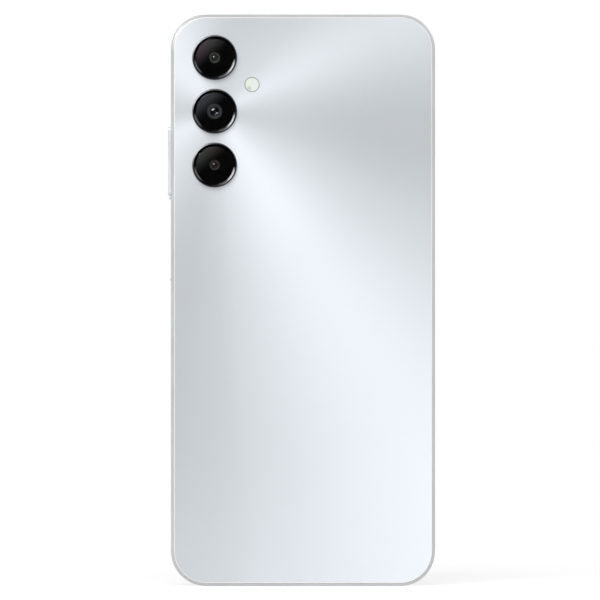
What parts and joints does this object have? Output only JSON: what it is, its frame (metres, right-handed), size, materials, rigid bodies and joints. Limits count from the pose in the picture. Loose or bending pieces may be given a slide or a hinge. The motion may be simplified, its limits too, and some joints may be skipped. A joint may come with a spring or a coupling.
{
  "type": "smartphone",
  "caption": "Slab smartphone with a silver rear cover, round rear cameras in a column, flank keys, a card tray, a charging port and a headphone jack.",
  "frame": {"origin": "on the bottom edge, midway across the width and halfway through the depth between the glass face and the rear cover's face", "axes": "+Z from the charging port up to the earpiece, +Y out of the screen, +X to the right when the rear cover is looked at"},
  "size_m": [0.0781, 0.0101, 0.1673],
  "materials": {
    "frame_silver": "satin silver paint",
    "cover_silver": "gloss silver with a brushed sheen",
    "ring_dark": "polished dark metal",
    "window_glass": "tinted gloss",
    "flash_diffuser": "milky",
    "led_yellow": "phosphor",
    "lens_coated": "coated",
    "black_plastic": "fine matte",
    "cover_glass": "polished",
    "panel_black": "dark panel",
    "backlight_white": "white sheet stack",
    "alloy": "die-cast",
    "steel": "bright",
    "can_metal": "tinned",
    "copper_alloy": "gold plated",
    "adhesive_black": "foam tape",
    "flex_amber": "polyimide",
    "flex_black": "coverlay",
    "board_green": "solder mask",
    "chip_black": "moulded",
    "battery_wrap": "laminated foil pouch",
    "battery_board_black": "taped",
    "magnet_grey": "plated magnet",
    "tungsten": "sintered weight",
    "diaphragm_film": "thin film",
    "mesh_metal": "woven mesh",
    "sensor_silicon": "silicon",
    "sensor_coat": "hard coat"
  },
  "bodies": {
    "chassis": {"side_frame": "frame_silver", "mid_plate": "alloy", "rear_cover": "cover_silver", "rear_cover_adhesive": "adhesive_black", "camera_ring_upper": "ring_dark", "camera_ring_main": "ring_dark", "camera_ring_lower": "ring_dark", "camera_window_upper": "window_glass", "camera_window_main": "window_glass", "camera_window_lower": "window_glass", "main_camera_actuator": "can_metal", "main_camera_sensor": "sensor_silicon", "macro_camera_module": "black_plastic", "macro_camera_lens": "lens_coated", "depth_camera_module": "black_plastic", "depth_camera_lens": "lens_coated", "flash_lens": "flash_diffuser", "flash_led": "led_yellow", "front_camera_module": "black_plastic", "front_camera_lens": "lens_coated", "front_glass": "cover_glass", "display_panel": "panel_black", "backlight_unit": "backlight_white", "display_adhesive": "adhesive_black", "display_flex": "flex_amber", "earpiece_mesh": "mesh_metal", "earpiece_case": "black_plastic", "battery_cell": "battery_wrap", "battery_board": "battery_board_black", "main_board": "board_green", "shield_cans": "can_metal", "board_components": "chip_black", "upper_bracket": "black_plastic", "bracket_screws": "steel", "lower_screws": "steel", "lower_board": "board_green", "usb_shell": "steel", "usb_tongue": "black_plastic", "jack_body": "black_plastic", "jack_contacts": "copper_alloy", "board_link_ribbon": "flex_black", "antenna_cable": "flex_black", "speaker_box": "black_plastic", "speaker_magnet": "magnet_grey", "speaker_mesh": "mesh_metal", "motor_case": "steel", "key_flex": "flex_amber", "key_bracket": "steel", "sim_socket": "can_metal"},
    "volume_rocker": {"volume_key": "frame_silver"},
    "power_button": {"power_key": "frame_silver", "fingerprint_sensor": "sensor_coat"},
    "card_tray": {"sim_tray": "frame_silver"},
    "ejector_rod": {"eject_rod": "steel"},
    "ejector_lever": {"eject_lever": "steel"},
    "focus_barrel": {"main_camera_barrel": "black_plastic", "main_camera_lens": "lens_coated"},
    "vibration_rotor": {"motor_rotor": "tungsten"},
    "loudspeaker_cone": {"speaker_diaphragm": "diaphragm_film"},
    "earpiece_cone": {"earpiece_diaphragm": "diaphragm_film"}
  },
  "joints": [
    {"name": "volume_rock", "type": "hinge", "parent": "chassis", "child": "volume_rocker", "pos_m": [-0.0364, -0.0005, 0.1243], "axis": [0, 1, 0], "range_deg": [-1.1, 1.1], "stiffness_Nm_per_rad": 0.02},
    {"name": "power_press", "type": "slide", "parent": "chassis", "child": "power_button", "axis": [1, 0, 0], "range_m": [0, 0.00025], "stiffness_N_per_m": 800},
    {"name": "tray_slide", "type": "slide", "parent": "chassis", "child": "card_tray", "axis": [1, 0, 0], "range_m": [0, 0.034]},
    {"name": "eject_push", "type": "slide", "parent": "chassis", "child": "ejector_rod", "axis": [-1, 0, 0], "range_m": [0, 0.0016]},
    {"name": "eject_pivot", "type": "hinge", "parent": "chassis", "child": "ejector_lever", "pos_m": [0.001, 0.0005, 0.1446], "axis": [0, -1, 0], "range_deg": [0, 17]},
    {"name": "focus", "type": "slide", "parent": "chassis", "child": "focus_barrel", "axis": [0, -1, 0], "range_m": [0, 0.0003], "stiffness_N_per_m": 60},
    {"name": "motor_spin", "type": "hinge", "parent": "chassis", "child": "vibration_rotor", "pos_m": [0.0278, 0, 0.017], "axis": [0, 1, 0], "continuous": true},
    {"name": "loudspeaker_stroke", "type": "slide", "parent": "chassis", "child": "loudspeaker_cone", "axis": [0, 1, 0], "range_m": [-0.0003, 0.0003], "stiffness_N_per_m": 500},
    {"name": "earpiece_stroke", "type": "slide", "parent": "chassis", "child": "earpiece_cone", "axis": [0, 1, 0], "range_m": [-0.0002, 0.0002], "stiffness_N_per_m": 500}
  ],
  "couplings": [
    {"joint": "eject_pivot", "follows": "eject_push", "rad_per_m": 185.44}
  ]
}
